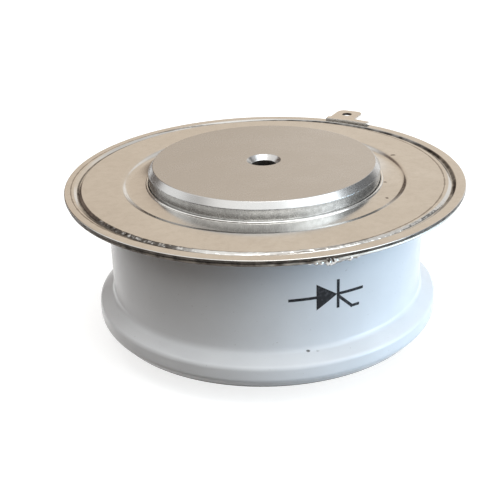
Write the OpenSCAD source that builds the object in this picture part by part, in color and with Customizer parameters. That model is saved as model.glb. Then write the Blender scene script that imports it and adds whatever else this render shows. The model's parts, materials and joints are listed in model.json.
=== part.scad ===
// Disc thyristor: a sealed press-pack capsule, standing on its anode face, in millimetres.
// Z is the capsule's axis, with z = 0 on the anode contact face and the cathode face on top.

/* [Capsule] */
// Height over the two contact faces
capsule_h = 26.5; // [25.5:0.1:32]
// How far the welded rim stands out of the ceramic ring
rim_overhang = 5.95; // [5:0.05:8]

/* [Contact poles] */
// Diameter of both contact poles
pole_d = 34; // [30:0.1:38]
// How far a contact face stands out of the flange next to it
pole_stand = 2.5; // [2:0.1:3.5]
// Width of the chamfer round a contact face, along the radius
chamfer_w = 0.7; // [0.3:0.05:1.2]
// Height of that chamfer
chamfer_h = 0.95; // [0.3:0.05:1.5]
// Width of the step on each pole that its flange is brazed to
shoulder_w = 1.2; // [0.8:0.1:1.5]
// Height of that step
shoulder_h = 1.5; // [1:0.1:2.5]
// Height of the anode pole
anode_pole_h = 10.5; // [9:0.1:11.5]
// Diameter of the locating hole in the middle of each contact face
locating_d = 3.6; // [3:0.1:4.5]
// Depth of the straight wall of that hole, from the contact face
locating_depth = 2; // [1.5:0.1:3]
// Width of the countersink at the mouth of that hole
countersink_w = 0.7; // [0.3:0.05:1]

/* [Flanges] */
// Thickness of the three flange sheets
sheet_t = 0.4; // [0.3:0.05:0.6]
// Depth of the trough round each pole, at its lowest place
trough_depth = 0.45; // [0.35:0.05:0.6]
// How far the trough falls from the collar to its lowest place
trough_dip = 0.22; // [0.1:0.01:0.28]
// Distance of the trough's lowest place from the pole
trough_w = 2.9; // [2.6:0.1:3.6]
// Width of the soft bend that leads out of the trough
trough_bend_w = 1.3; // [0.95:0.05:1.5]
// Height of the collar that is drawn up round the pole
collar_h = 0.25; // [0.21:0.01:0.6]
// Thickness of that collar
collar_t = 0.4; // [0.3:0.02:0.4]
// Distance of the weld groove's middle from the edge of the rim
groove_inset = 1.95; // [1.6:0.05:2.4]
// Half the width of the weld groove between its shoulders
groove_half_w = 0.55; // [0.4:0.05:0.9]
// Half the width of the weld groove's floor
groove_floor_half_w = 0.1; // [0.05:0.01:0.3]
// Depth of the weld groove in each of the two welded sheets
groove_depth = 0.28; // [0.05:0.01:0.28]
// Width of the gap between the two sheets at the edge of the rim
rim_gap = 0.2; // [0.1:0.05:0.5]
// How much smaller the lower sheet of the rim is, along the radius
rim_step = 0.2; // [0:0.05:0.5]

/* [Ceramic ring] */
// Width of the space between a pole and the bore of the ring
bore_gap = 2.8; // [2.4:0.1:3.6]
// Thickness of the ring's wall
ceramic_wall = 3.5; // [3:0.1:4.2]
// How far the shed stands out of the ring
shed_reach = 2.3; // [1.9:0.05:3.2]
// Height of the lower end of the shed's straight face above the ring's lower end
shed_mid_h = 1.9; // [1.8:0.05:3]
// Height of that face
shed_face_h = 1.2; // [0.2:0.05:2]
// Radius of the shed's round below the face
shed_round_r = 1.3; // [0.6:0.05:1.5]
// Radius of the shed's round above the face
shed_top_r = 0.7; // [0.4:0.05:1.2]
// Slope of the shed's top, in degrees from level
shed_slope = 28; // [20:1:45]
// Radius of the hollow between the shed and the ring
shed_hollow_r = 1; // [0.6:0.1:2]
// How far the shed's lower edge is set back from its face
shed_undercut = 1.1; // [0.5:0.05:1.6]
// Size of the small bevel along the shed's lower edge
shed_bevel = 0.25; // [0.1:0.05:0.5]
// How far the anode flange is set back from that bevel
anode_set_back = 1.2; // [0.8:0.1:1.8]

/* [Silicon stack] */
// Thickness of the silicon wafer
wafer_t = 0.6; // [0.4:0.05:1]
// Width of the bevel ground along the wafer's edge
wafer_bevel = 0.6; // [0.3:0.05:0.8]
// Thickness of the molybdenum disc on the anode side
anode_disc_t = 2; // [1.5:0.1:3]
// Thickness of the molybdenum disc on the cathode side
cathode_disc_t = 1; // [0.9:0.1:1.8]
// Width of the bare strip between the cathode disc's edge and the wafer's edge
cathode_margin = 1.5; // [1.2:0.1:2]
// Diameter of the gate opening in the cathode disc
gate_opening_d = 3.2; // [2.6:0.1:4]
// Thickness of the rubber seal outside the wafer's edge
seal_t = 0.6; // [0.4:0.05:0.9]
// Height of the rubber seal above the wafer
seal_h = 0.7; // [0.4:0.05:0.75]
// How far the rubber seal hangs down over the anode disc
seal_drop = 0.9; // [0.5:0.1:1.3]
// Wall of the locating ring
ring_wall = 1; // [0.7:0.05:1.3]
// Height of the locating ring's lip, which is round the anode pole
ring_lip_h = 2.4; // [1.5:0.1:3]

/* [Gate lead] */
// Direction of the gate lead, in degrees from +X towards +Y
gate_angle = 90; // [80:1:110]
// Diameter of the blind bore in the cathode pole that holds the gate contact
gate_bore_d = 5; // [4.6:0.1:6]
// Depth of that bore
gate_bore_depth = 6; // [5.6:0.1:7]
// Wall of the insulating bush in that bore
bush_wall = 0.6; // [0.4:0.05:0.7]
// Height of the open end of the bore that the bush leaves free
bush_set_back = 0.3; // [0.2:0.05:0.6]
// Diameter of the gate pin
pin_d = 1.4; // [1:0.1:1.6]
// Diameter of the pin's collar
pin_collar_d = 3; // [2.8:0.1:3.3]
// Height of the pin's collar
pin_collar_h = 1.4; // [1.2:0.1:1.8]
// Height of the lead's axis above the cathode pole's inner face
lead_h = 1.9; // [1.6:0.05:2.2]
// Diameter of the lead's bare wire
wire_d = 0.7; // [0.5:0.05:0.8]
// How far the wire reaches into the pin's collar
wire_grip = 0.8; // [0.5:0.05:1]
// Outer diameter of the lead's insulating sleeve
sleeve_d = 1.7; // [1.5:0.05:1.8]
// Diameter of the spring's wire
spring_wire_d = 0.35; // [0.25:0.05:0.4]
// Number of turns of the spring
spring_turns = 4; // [3:0.5:5]
// Outer diameter of the gate tube
tube_d = 2.8; // [2.6:0.1:3.4]
// Wall of the gate tube
tube_wall = 0.4; // [0.3:0.05:0.4]
// Diameter of the gate tube's collar, on the outside of the ceramic ring
tube_collar_d = 4.6; // [4:0.1:6]
// Thickness of that collar
tube_collar_t = 0.5; // [0.3:0.05:0.8]
// Length of round tube outside that collar
tube_run = 2; // [1.5:0.1:3]
// Length over which the tube is squeezed flat
tube_squeeze = 1; // [0.6:0.1:1.5]
// Length of the flat end of the tube
blade_len = 3.2; // [2.5:0.1:4]
// Width of the flat end
blade_w = 3.6; // [3:0.1:4]
// Thickness of the flat end
blade_t = 0.8; // [0.6:0.05:1]

/* [Terminal tabs] */
// Direction of the cathode terminal, in degrees from +X towards +Y
tab_angle = 61.5; // [45:0.5:68]
// Width of both terminal tabs
tab_w = 4.4; // [4:0.1:6]
// Thickness of both terminal tabs
tab_t = 0.4; // [0.3:0.05:0.6]
// Radius of the rounded corners at the end of a tab
tab_corner_r = 1.2; // [0.5:0.1:1.8]
// Diameter of the hole in a tab
tab_hole_d = 1.5; // [1.2:0.1:2]
// Distance of the hole from the end of its tab
tab_hole_inset = 2.2; // [1.6:0.1:2.6]
// How far the cathode terminal stands out of the rim
tab_reach = 4.5; // [4:0.1:7]
// Width of the cathode terminal's foot, which lies on the rim
foot_w = 0.85; // [0.5:0.05:0.9]
// How far the foot stands out of the rim
foot_lip = 0.35; // [0:0.05:0.6]
// Length of the foot on the gate's side of the tab, along the rim
foot_gate_len = 2.6; // [2.4:0.1:4]
// Length of the foot on the other side of the tab's middle
foot_far_len = 5; // [3:0.1:8]
// Length of the gate terminal outside the end of the gate tube
gate_tab_reach = 4.2; // [3.5:0.1:7]
// How far the gate terminal lies on the flat end of the gate tube
gate_tab_lap = 2.6; // [2:0.1:3]

/* [Hidden] */

$fn = 96;
// Gap of a brazed joint and of a loose fit
braze_gap = 0.05;
loose_gap = 0.1;
// Room for a flange's trough beside the ceramic ring and the lower sheet
trough_room = 0.15;
// Slope of the bottom of a drilled hole: half the angle of a drill's point
drill_half_angle = 59;
// Extra length of a cut past the face that it opens
past = 0.5;
// Steps of a quarter round in an outline
round_steps = 8;

pole_r = pole_d / 2;
bore_r = pole_r + bore_gap;
ceramic_r = bore_r + ceramic_wall;
rim_r = ceramic_r + rim_overhang;

// Heights of the flanges and of the ceramic ring between them
rim_top = capsule_h - pole_stand;
weld_z = rim_top - sheet_t;
ceramic_top = weld_z - sheet_t;
ceramic_bottom = pole_stand + sheet_t;

// Radii of a flange, from its collar out
collar_r = pole_r + braze_gap;
shoulder_r = pole_r + shoulder_w;
floor_r = pole_r + trough_w;
bend_r = floor_r + trough_bend_w;
land_r = bend_r + trough_room;
collar_drop = trough_depth - trough_dip;
groove_r = rim_r - groove_inset;

// Shed of the ceramic ring
shed_r = ceramic_r + shed_reach;
shed_mid_z = ceramic_bottom + shed_mid_h;
shed_low_r = shed_r - shed_undercut;

// Heights of the silicon stack
disc_top = anode_pole_h + anode_disc_t;
wafer_top = disc_top + wafer_t;
cathode_inner_z = wafer_top + cathode_disc_t;

// Radii of the silicon stack, from the ceramic ring's bore in
ring_r = bore_r - loose_gap;
ring_bore_r = ring_r - ring_wall;
seal_r = ring_bore_r - loose_gap;
wafer_r = seal_r - seal_t;
cathode_disc_r = wafer_r - cathode_margin;

// Gate lead
lead_z = cathode_inner_z + lead_h;
gate_bore_top = cathode_inner_z + gate_bore_depth;
bush_r = gate_bore_d / 2 - braze_gap;
bush_ceiling = gate_bore_top - bush_wall;
pin_collar_r = pin_collar_d / 2;
pin_collar_z = lead_z - pin_collar_h / 2;
spring_r = (pin_d + pin_collar_d) / 4;
channel_r = sleeve_d / 2 + 3 * loose_gap;
sleeve_start = bush_r + loose_gap;
tube_r = tube_d / 2;
tube_bore_r = tube_r - tube_wall;
tube_start = bore_r - loose_gap;
collar_start = ceramic_r;
tube_end = collar_start + tube_collar_t + tube_run;
blade_start = tube_end + tube_squeeze;
blade_end = blade_start + blade_len;

// Points of an arc, from angle a to angle b
function arc(centre, r, a, b) =
    let (n = max(2, ceil(round_steps * abs(b - a) / 90)))
    [for (i = [0 : n]) let (t = a + (b - a) * i / n) centre + r * [cos(t), sin(t)]];

// Directions and places of the shed's outline: round, straight face, round, sloping top, hollow
shed_round_c = [shed_r - shed_round_r, shed_mid_z];
shed_top_c = [shed_r - shed_top_r, shed_mid_z + shed_face_h];
shed_low = [shed_low_r, ceramic_bottom + shed_bevel];
shed_low_ray = shed_round_c - shed_low;
shed_wall_angle = atan2(shed_low_ray.y, shed_low_ray.x) - asin(shed_round_r / norm(shed_low_ray));
slope_out = [sin(shed_slope), cos(shed_slope)];
slope_in = [-cos(shed_slope), sin(shed_slope)];
shed_top_start = shed_top_c + shed_top_r * slope_out;
hollow_c_r = ceramic_r + shed_hollow_r;
shed_top_len = (shed_top_start.x + shed_hollow_r * slope_out.x - hollow_c_r) / cos(shed_slope);
hollow_c = shed_top_start + shed_top_len * slope_in + shed_hollow_r * slope_out;

// Outline of half a contact pole: contact face at zero, inner face at height h
module pole_outline(h, shoulder_z) {
    polygon([
        [0, 0], [pole_r - chamfer_w, 0], [pole_r, chamfer_h], [pole_r, shoulder_z], [shoulder_r, shoulder_z],
        [shoulder_r, shoulder_z + shoulder_h], [pole_r, shoulder_z + shoulder_h], [pole_r, h], [0, h]
    ]);
}

// Drilled locating hole with its countersink, opening downwards at zero
module locating_hole() {
    hole_r = locating_d / 2;
    mouth_r = hole_r + countersink_w;
    translate([0, 0, -past]) cylinder(r = hole_r, h = locating_depth + past);
    translate([0, 0, locating_depth]) cylinder(r1 = hole_r, r2 = 0, h = hole_r / tan(drill_half_angle));
    cylinder(r1 = mouth_r, r2 = hole_r, h = countersink_w);
    translate([0, 0, -past]) cylinder(r = mouth_r, h = past);
}

// Solid contact pole with its locating hole, contact face down at zero
module pole_blank(h) {
    shoulder_z = pole_stand + collar_drop + sheet_t;
    difference() {
        rotate_extrude() pole_outline(h, shoulder_z);
        locating_hole();
    }
}

// Puts a piece that runs along +X at the lead's height and direction
module along_lead() {
    translate([0, 0, lead_z]) rotate([0, 0, gate_angle]) children();
}

// Round bar along +X from x = a to x = b
module bar(r, a, b) {
    translate([a, 0, 0]) rotate([0, 90, 0]) cylinder(r = r, h = b - a);
}

// Keyhole cut along +X: a round top at the lead's axis, open downwards to depth drop
module lead_cut(r, a, b, drop) {
    bar(r, a, b);
    translate([a, -r, -drop]) cube([b - a, 2 * r, drop]);
}

// Outline of a flat tab along +X with a round-cornered end and a hole near it
module tab_outline(a, b) {
    difference() {
        polygon(concat(
            [[a, -tab_w / 2]],
            arc([b - tab_corner_r, tab_corner_r - tab_w / 2], tab_corner_r, -90, 0),
            arc([b - tab_corner_r, tab_w / 2 - tab_corner_r], tab_corner_r, 0, 90),
            [[a, tab_w / 2]]
        ));
        translate([b - tab_hole_inset, 0]) circle(d = tab_hole_d);
    }
}

// Soft step from point a out to point b, of two arcs that meet halfway, or its parallel at a shift upwards
function soft_step(a, b, shift) =
    let (
        w = b.x - a.x, rise = abs(b.y - a.y), side = sign(b.y - a.y),
        r = (w ^ 2 + rise ^ 2) / (4 * rise), turn = 2 * atan(rise / w)
    )
    concat(
        arc(a + [0, side * r], r - side * shift, -90 * side, side * (turn - 90)),
        rest(arc(b - [0, side * r], r + side * shift, side * (90 + turn), 90 * side))
    );
function rest(points) = [for (i = [1 : len(points) - 1]) points[i]];
function backwards(points) = [for (i = [len(points) - 1 : -1 : 0]) points[i]];

// Trough of a flange in section, with its outer face on top at height z: a seat on the pole's shoulder,
// a fall to the lowest place and a bend up to the flat ring. The lower face runs parallel to the upper.
function trough_line(z, shift) = concat(
    soft_step([shoulder_r, z - collar_drop], [floor_r, z - trough_depth], shift),
    rest(soft_step([floor_r, z - trough_depth], [bend_r, z], shift))
);
function trough_top(z) = concat(
    arc([collar_r + collar_t / 2, z - collar_drop + collar_h - collar_t / 2], collar_t / 2, 180, 0),
    [[collar_r + collar_t, z - collar_drop]], trough_line(z, 0)
);
function trough_bottom(z) = concat(backwards(trough_line(z, -sheet_t)), [[collar_r, z - collar_drop - sheet_t]]);

module cathode_pole() {
    h = capsule_h - cathode_inner_z;
    color("silver") difference() {
        translate([0, 0, capsule_h]) mirror([0, 0, 1]) pole_blank(h);
        translate([0, 0, cathode_inner_z - past]) cylinder(d = gate_bore_d, h = gate_bore_depth + past);
        along_lead() lead_cut(channel_r, 0, pole_r + past, lead_h + past);
    }
}

// Upper sheet of the rim: collar, trough, bend, flat ring, weld groove and edge
module cathode_flange() {
    color("tan") rotate_extrude() polygon(concat(
        trough_top(rim_top),
        [
            [groove_r - groove_half_w, rim_top], [groove_r - groove_floor_half_w, rim_top - groove_depth],
            [groove_r + groove_floor_half_w, rim_top - groove_depth], [groove_r + groove_half_w, rim_top],
            [rim_r, rim_top], [rim_r, weld_z]
        ],
        trough_bottom(rim_top)
    ));
}

// Lower sheet of the rim, brazed to the ceramic ring, with its edge sprung away from the upper sheet
module weld_flange() {
    edge_r = rim_r - rim_step;
    turn_r = groove_r + groove_half_w;
    color("tan") rotate_extrude() polygon([
        [land_r, weld_z], [turn_r, weld_z], [edge_r, weld_z - rim_gap], [edge_r, ceramic_top - rim_gap],
        [turn_r, ceramic_top], [groove_r + groove_floor_half_w, ceramic_top + groove_depth],
        [groove_r - groove_floor_half_w, ceramic_top + groove_depth],
        [groove_r - groove_half_w, ceramic_top], [land_r, ceramic_top]
    ]);
}

module ceramic_ring() {
    step_depth = trough_depth + trough_room;
    color("white") difference() {
        rotate_extrude() polygon(concat(
            [
                [land_r, ceramic_bottom], [shed_low_r - shed_bevel, ceramic_bottom], shed_low
            ],
            arc(shed_round_c, shed_round_r, shed_wall_angle - 90, 0),
            arc(shed_top_c, shed_top_r, 0, 90 - shed_slope),
            arc(hollow_c, shed_hollow_r, 270 - shed_slope, 180),
            [
                [ceramic_r, ceramic_top], [land_r, ceramic_top], [land_r, ceramic_top - step_depth],
                [bore_r, ceramic_top - step_depth], [bore_r, ceramic_bottom + step_depth],
                [land_r, ceramic_bottom + step_depth]
            ]
        ));
        along_lead() bar(tube_r + braze_gap, bore_r - past, ceramic_r + past);
    }
}

// Flange brazed under the ceramic ring, with the same trough as the cathode flange, facing down
module anode_flange() {
    edge_r = shed_low_r - shed_bevel - anode_set_back;
    color("tan") translate([0, 0, pole_stand]) mirror([0, 0, 1]) rotate_extrude() polygon(concat(
        trough_top(0), [[edge_r, 0], [edge_r, -sheet_t]], trough_bottom(0)
    ));
}

module anode_pole() {
    color("silver") pole_blank(anode_pole_h);
}

module anode_disc() {
    color("slategray") translate([0, 0, anode_pole_h]) cylinder(r = wafer_r, h = anode_disc_t);
}

module silicon_wafer() {
    color("dimgray") translate([0, 0, disc_top])
        cylinder(r1 = wafer_r, r2 = wafer_r - wafer_bevel, h = wafer_t);
}

module cathode_disc() {
    color("slategray") translate([0, 0, wafer_top]) difference() {
        cylinder(r = cathode_disc_r, h = cathode_disc_t);
        translate([0, 0, -past]) cylinder(d = gate_opening_d, h = cathode_disc_t + 2 * past);
    }
}

// Rubber moulded over the wafer's bevelled edge
module edge_seal() {
    top = wafer_top + seal_h;
    color("ivory") rotate_extrude() polygon([
        [cathode_disc_r + loose_gap, wafer_top], [wafer_r - wafer_bevel, wafer_top], [wafer_r, disc_top],
        [wafer_r, disc_top - seal_drop], [seal_r, disc_top - seal_drop], [seal_r, top - seal_t],
        [seal_r - seal_t, top], [cathode_disc_r + loose_gap, top]
    ]);
}

// Ring that centres the silicon stack on the anode pole and in the ceramic ring
module locating_ring() {
    lip_r = pole_r + loose_gap;
    lip_top = anode_pole_h - loose_gap;
    lip_bottom = lip_top - ring_lip_h;
    top = wafer_top + seal_h;
    color("whitesmoke") rotate_extrude() polygon([
        [lip_r, lip_bottom], [ring_r, lip_bottom], [ring_r, top], [ring_bore_r, top],
        [ring_bore_r, lip_top], [lip_r, lip_top]
    ]);
}

// Insulating cup in the gate bore, with a slot that lets the lead in from below
module gate_bush() {
    mouth = cathode_inner_z + bush_set_back;
    color("whitesmoke") difference() {
        translate([0, 0, mouth]) cylinder(r = bush_r, h = gate_bore_top - mouth);
        translate([0, 0, mouth - past]) cylinder(r = bush_r - bush_wall, h = bush_ceiling - mouth + past);
        along_lead() lead_cut(channel_r, 0, gate_bore_d, lead_h + past);
    }
}

// Pin that presses on the gate in the middle of the wafer
module gate_pin() {
    color("gold") difference() {
        union() {
            translate([0, 0, wafer_top]) cylinder(d = pin_d, h = pin_collar_z + pin_collar_h / 2 - wafer_top);
            translate([0, 0, pin_collar_z]) cylinder(r = pin_collar_r, h = pin_collar_h);
        }
        along_lead() bar(wire_d / 2 + braze_gap, pin_collar_r - wire_grip - braze_gap, pin_collar_r + past);
    }
}

// Coil spring between the pin's collar and the end of the bush
module gate_spring() {
    sides = 8;
    steps_per_turn = 20;
    wire_r = spring_wire_d / 2;
    start = pin_collar_z + pin_collar_h + wire_r + braze_gap;
    rise = bush_ceiling - wire_r - braze_gap - start;
    steps = spring_turns * steps_per_turn;
    points = [
        for (i = [0 : steps], j = [0 : sides - 1])
        let (turn = 360 * i / steps_per_turn, side = 360 * j / sides, r = spring_r + wire_r * cos(side))
        [r * cos(turn), r * sin(turn), start + rise * i / steps + wire_r * sin(side)]
    ];
    walls = [
        for (i = [0 : steps - 1], j = [0 : sides - 1])
        let (k = (j + 1) % sides)
        [i * sides + j, (i + 1) * sides + j, (i + 1) * sides + k, i * sides + k]
    ];
    first_end = [for (j = [0 : sides - 1]) j];
    last_end = [for (j = [sides - 1 : -1 : 0]) steps * sides + j];
    color("silver") polyhedron(points, concat(walls, [first_end, last_end]));
}

module gate_wire() {
    color("silver") along_lead() bar(wire_d / 2, pin_collar_r - wire_grip, tube_end - braze_gap);
}

module gate_sleeve() {
    color("white") along_lead() difference() {
        bar(sleeve_d / 2, sleeve_start, ceramic_r);
        bar(wire_d / 2 + braze_gap, sleeve_start - past, ceramic_r + past);
    }
}

// Tube brazed through the ceramic ring: collar, round run and an end that is squeezed flat
module gate_tube() {
    color("tan") along_lead() {
        difference() {
            union() {
                bar(tube_r, tube_start, tube_end);
                bar(tube_collar_d / 2, collar_start, collar_start + tube_collar_t);
            }
            bar(tube_bore_r, tube_start - past, tube_end - braze_gap);
        }
        hull() {
            bar(tube_r, tube_end - braze_gap, tube_end, $fn = 32);
            translate([blade_start, -blade_w / 2, -blade_t / 2]) cube([braze_gap, blade_w, blade_t]);
        }
        translate([blade_start, -blade_w / 2, -blade_t / 2]) cube([blade_len, blade_w, blade_t]);
    }
}

// Tab welded on top of the gate tube's flat end
module gate_terminal() {
    color("tan") along_lead() translate([0, 0, blade_t / 2]) linear_extrude(tab_t)
        tab_outline(blade_end - gate_tab_lap, blade_end + gate_tab_reach);
}

// Tab with a curved foot welded on top of the rim
module cathode_terminal() {
    foot_in = rim_r - foot_w;
    foot_out = rim_r + foot_lip;
    degrees_per_mm = 180 / (PI * rim_r);
    gate_end = foot_gate_len * degrees_per_mm;
    far_end = -foot_far_len * degrees_per_mm;
    color("tan") translate([0, 0, rim_top]) rotate([0, 0, tab_angle]) {
        rotate([0, 0, far_end]) rotate_extrude(angle = gate_end - far_end)
            translate([foot_in, 0]) square([foot_out - foot_in, tab_t]);
        linear_extrude(tab_t) tab_outline(rim_r - foot_w / 4, rim_r + tab_reach);
    }
}

cathode_pole();
cathode_flange();
weld_flange();
ceramic_ring();
anode_flange();
anode_pole();
anode_disc();
silicon_wafer();
cathode_disc();
edge_seal();
locating_ring();
gate_bush();
gate_pin();
gate_spring();
gate_wire();
gate_sleeve();
gate_tube();
gate_terminal();
cathode_terminal();
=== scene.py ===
"""Disc thyristor: surfaces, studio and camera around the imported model. Lengths are in millimetres until MM."""

import json
import math

import bpy
from mathutils import Matrix, Vector, noise


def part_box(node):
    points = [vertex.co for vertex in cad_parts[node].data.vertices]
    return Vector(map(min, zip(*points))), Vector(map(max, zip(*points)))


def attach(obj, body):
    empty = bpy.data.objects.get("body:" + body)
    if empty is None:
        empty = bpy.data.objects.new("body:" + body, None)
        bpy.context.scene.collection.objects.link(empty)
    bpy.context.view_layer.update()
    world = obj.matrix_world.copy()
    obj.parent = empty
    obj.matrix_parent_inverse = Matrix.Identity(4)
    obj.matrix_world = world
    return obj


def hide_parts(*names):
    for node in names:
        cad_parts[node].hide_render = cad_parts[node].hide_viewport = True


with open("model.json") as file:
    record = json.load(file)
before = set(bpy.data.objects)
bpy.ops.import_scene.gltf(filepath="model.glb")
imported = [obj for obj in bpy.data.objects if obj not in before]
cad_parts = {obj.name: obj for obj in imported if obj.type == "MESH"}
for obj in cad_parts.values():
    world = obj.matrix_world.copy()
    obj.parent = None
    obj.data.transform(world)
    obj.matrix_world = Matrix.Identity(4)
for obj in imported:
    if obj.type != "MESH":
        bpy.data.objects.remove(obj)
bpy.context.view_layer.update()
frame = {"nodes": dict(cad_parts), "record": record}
nodes = frame["nodes"]

MM = 0.001
TURN = 2 * math.pi
SHARP_ANGLE = math.radians(32)


def high(node, axis):
    """Highest coordinate of a CAD node along an axis, in millimetres."""
    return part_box(node)[1]["xyz".index(axis)] / MM


def low(node, axis):
    """Lowest coordinate of a CAD node along an axis, in millimetres."""
    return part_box(node)[0]["xyz".index(axis)] / MM


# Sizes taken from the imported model
CAPSULE_H = high("cathode_pole", "z")
CATHODE_INNER_Z = low("cathode_pole", "z")
ANODE_POLE_H = high("anode_pole", "z")
RIM_R = high("cathode_flange", "x")
WELD_Z = high("weld_flange", "z")
LOWER_RIM_R = high("weld_flange", "x")
ANODE_RIM_R = high("anode_flange", "x")
CERAMIC_TOP = high("ceramic_ring", "z")
CERAMIC_BOTTOM = low("ceramic_ring", "z")
SHED_R = high("ceramic_ring", "x")
BLADE_END = high("gate_tube", "y")
TUBE_START = low("gate_tube", "y")
LEAD_Z = (high("gate_tube", "z") + low("gate_tube", "z")) / 2
GATE_TAB_END = high("gate_terminal", "y")
GATE_TAB_START = low("gate_terminal", "y")

# Sizes repeated from the part's source
POLE_R = 17.0
SHEET_T = 0.4
RIM_TOP = WELD_Z + SHEET_T
POLE_STAND = CAPSULE_H - RIM_TOP
CHAMFER_W, CHAMFER_H = 0.7, 0.95
SHOULDER_W, SHOULDER_H = 1.2, 1.5
HOLE_R, HOLE_DEPTH, COUNTERSINK_W = 1.8, 2.0, 0.7
DRILL_HALF_ANGLE = math.radians(59)
TROUGH_DEPTH, TROUGH_DIP, TROUGH_W, BEND_W = 0.45, 0.22, 2.9, 1.3
COLLAR_GAP, COLLAR_T, COLLAR_H = 0.05, 0.4, 0.25
GROOVE_R, GROOVE_HALF_W, GROOVE_FLOOR_HALF_W, GROOVE_DEPTH = RIM_R - 1.95, 0.55, 0.1, 0.28
RIM_GAP = 0.2
BORE_R, CERAMIC_R = 19.8, 23.3
TROUGH_ROOM = 0.15
SHED_MID_H, SHED_FACE_H, SHED_ROUND_R, SHED_TOP_R = 1.9, 1.2, 1.3, 0.7
SHED_SLOPE, SHED_HOLLOW_R, SHED_UNDERCUT, SHED_BEVEL = 28.0, 1.0, 1.1, 0.25
GATE_BORE_R, GATE_BORE_DEPTH = 2.5, 6.0
CHANNEL_R, LEAD_H = 1.15, 1.9
TUBE_R, TUBE_BORE_R, TUBE_COLLAR_R, TUBE_COLLAR_T = 1.4, 1.0, 2.3, 0.5
TUBE_RUN, TUBE_SQUEEZE, BLADE_W, BLADE_T = 2.0, 1.0, 3.6, 0.8
TAB_ANGLE, TAB_W, TAB_T, TAB_CORNER_R = 61.5, 4.4, 0.4, 1.2
TAB_HOLE_R, TAB_HOLE_INSET, TAB_REACH = 0.75, 2.2, 4.5
FOOT_W, FOOT_LIP, FOOT_GATE_LEN, FOOT_FAR_LEN = 0.85, 0.35, 2.6, 5.0

COLLAR_R = POLE_R + COLLAR_GAP
COLLAR_DROP = TROUGH_DEPTH - TROUGH_DIP
SHOULDER_R = POLE_R + SHOULDER_W
FLOOR_R = POLE_R + TROUGH_W
BEND_R = FLOOR_R + BEND_W
LAND_R = BEND_R + TROUGH_ROOM


# Outlines

# Degrees between the points of a round, the share of a side that a round may take, and a guard point's share
ROUND_STEP, LONGEST_ROUND, GUARD_SHARE = 12, 0.48, 0.02


def arc(cx, cy, r, a, b, step=9.0):
    """Points of an arc from angle a to angle b, in degrees."""
    n = max(2, math.ceil(abs(b - a) / step))
    angles = [math.radians(a + (b - a) * i / n) for i in range(n + 1)]
    return [(cx + r * math.cos(t), cy + r * math.sin(t)) for t in angles]


def circle(x, y, r):
    """Closed outline of a circle."""
    return arc(x, y, r, 0, 360, 7.5)[:-1]


def rounded(corners, guard=0.03):
    """A closed outline with rounded corners. A corner is (x, y) or (x, y, radius).

    A point on each side of a round, guard away from it, keeps the shading of the flat faces flat.
    """
    points = []
    n = len(corners)
    for i, corner in enumerate(corners):
        p = Vector(corner[:2])
        r = corner[2] if len(corner) > 2 else 0
        if r <= 0:
            points.append(tuple(p))
            continue
        to_a = Vector(corners[i - 1][:2]) - p
        to_b = Vector(corners[(i + 1) % n][:2]) - p
        da, db = to_a.normalized(), to_b.normalized()
        half = da.angle(db) / 2
        reach = r / math.tan(half)
        longest = LONGEST_ROUND * min(to_a.length, to_b.length)
        if reach > longest:
            r *= longest / reach
            reach = longest
        centre = p + (da + db).normalized() * (r / math.sin(half))
        start, end = p + da * reach, p + db * reach
        a0 = math.atan2(start.y - centre.y, start.x - centre.x)
        a1 = math.atan2(end.y - centre.y, end.x - centre.x)
        sweep = (a1 - a0 + math.pi) % TURN - math.pi
        steps = max(3, math.ceil(abs(math.degrees(sweep)) / ROUND_STEP))
        points.append(tuple(start + da * min(guard, GUARD_SHARE * to_a.length)))
        for k in range(steps + 1):
            t = a0 + sweep * k / steps
            points.append((centre.x + r * math.cos(t), centre.y + r * math.sin(t)))
        points.append(tuple(end + db * min(guard, GUARD_SHARE * to_b.length)))
    return points


def area(outline):
    """Signed area of an outline."""
    following = outline[1:] + outline[:1]
    return sum(a[0] * b[1] - b[0] * a[1] for a, b in zip(outline, following)) / 2


# Meshes

def in_scene(name, data):
    """New object in the scene, from a mesh, curve, lamp or camera."""
    obj = bpy.data.objects.new(name, data)
    bpy.context.scene.collection.objects.link(obj)
    return obj


def mesh_of(name, verts, faces):
    """Mesh from vertices in millimetres."""
    mesh = bpy.data.meshes.new(name)
    mesh.from_pydata([(x * MM, y * MM, z * MM) for x, y, z in verts], [], faces)
    return mesh


def smooth(mesh):
    """Smooth shading, apart from edges where the faces meet at a steep angle."""
    mesh.polygons.foreach_set("use_smooth", [True] * len(mesh.polygons))
    mesh.set_sharp_from_angle(angle=SHARP_ANGLE)


def piece_of(name, mesh, materials, replaced):
    """Piece from a mesh, with its materials, riding on the one body."""
    obj = in_scene(name, mesh)
    mesh.materials.clear()
    for material in materials:
        mesh.materials.append(material)
    smooth(mesh)
    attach(obj, "root")
    if replaced:
        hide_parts(*replaced)
    return obj


def new_piece(name, verts, faces, slot, materials, replaced=()):
    """Piece from vertices in millimetres and faces."""
    mesh = mesh_of(name, verts, faces)
    mesh.validate()
    return piece_of(name, mesh, materials, replaced)


def paint(piece, index, chosen):
    """Gives a material to the faces that are chosen by their radius in millimetres and the slope of their normal."""
    for face in piece.data.polygons:
        if chosen(face.center.xy.length / MM, face.normal.z):
            face.material_index = index


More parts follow.
